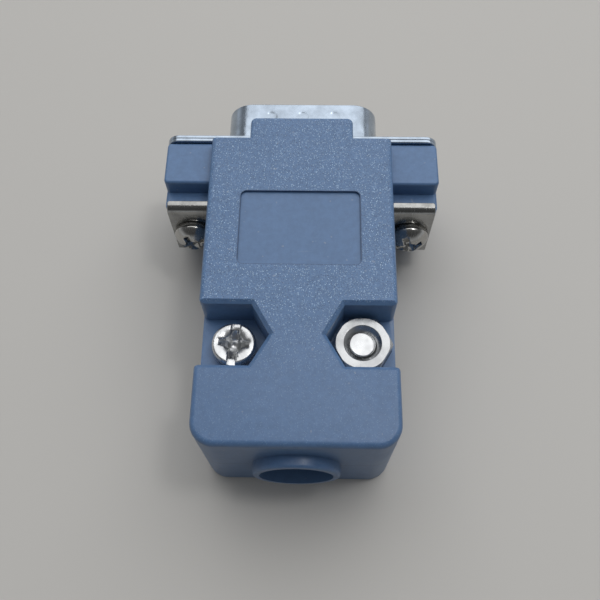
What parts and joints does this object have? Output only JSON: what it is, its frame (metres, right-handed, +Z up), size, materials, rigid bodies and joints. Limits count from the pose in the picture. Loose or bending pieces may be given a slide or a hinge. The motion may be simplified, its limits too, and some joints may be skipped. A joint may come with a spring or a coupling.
{
  "type": "d-sub plug in cable hood",
  "caption": "D-sub solder plug closed in a two-part moulded hood, with screw-locked case halves, side notches and two jackscrews in bent clips.",
  "frame": {"origin": "Middle of the flange's front face, on the mating axis and midway between the two jackscrews.", "axes": "+Y points out of the plug towards its mating connector, +X to the right along the flange, +Z up through the wide row of contacts. The hood lies flat on its underside."},
  "size_m": [0.0308, 0.043, 0.0156],
  "materials": {
    "hood_plastic": "fine spark-eroded grain",
    "plated_shell": "satin nickel or tin plate",
    "insulator": "moulded",
    "contact_gold": "gold flash",
    "zinc_screw": "bright zinc plate",
    "plated_bracket": "nickel plate"
  },
  "bodies": {
    "connector": {"hood_upper": "hood_plastic", "hood_lower": "hood_plastic", "front_shell": "plated_shell", "rear_shell": "plated_shell", "insulator_front": "insulator", "insulator_rear": "insulator", "case_screw_left": "zinc_screw", "case_screw_right": "zinc_screw", "case_nut_left": "zinc_screw", "case_nut_right": "zinc_screw", "clamp_screw_left": "zinc_screw", "clamp_screw_right": "zinc_screw", "jackscrew_bracket_left": "plated_bracket", "jackscrew_bracket_right": "plated_bracket", "cable_clamp_upper": "plated_bracket", "cable_clamp_lower": "plated_bracket", "contact_1": "contact_gold", "contact_2": "contact_gold", "contact_3": "contact_gold", "contact_4": "contact_gold", "contact_5": "contact_gold", "contact_6": "contact_gold", "contact_7": "contact_gold", "contact_8": "contact_gold", "contact_9": "contact_gold"},
    "left_jackscrew": {"jackscrew_left": "zinc_screw"},
    "right_jackscrew": {"jackscrew_right": "zinc_screw"}
  },
  "joints": [
    {"name": "jackscrew_left_turn", "type": "hinge", "parent": "connector", "child": "left_jackscrew", "pos_m": [-0.01249, 0, 0], "axis": [0, 1, 0], "continuous": true},
    {"name": "jackscrew_right_turn", "type": "hinge", "parent": "connector", "child": "right_jackscrew", "pos_m": [0.01249, 0, 0], "axis": [0, 1, 0], "continuous": true}
  ]
}
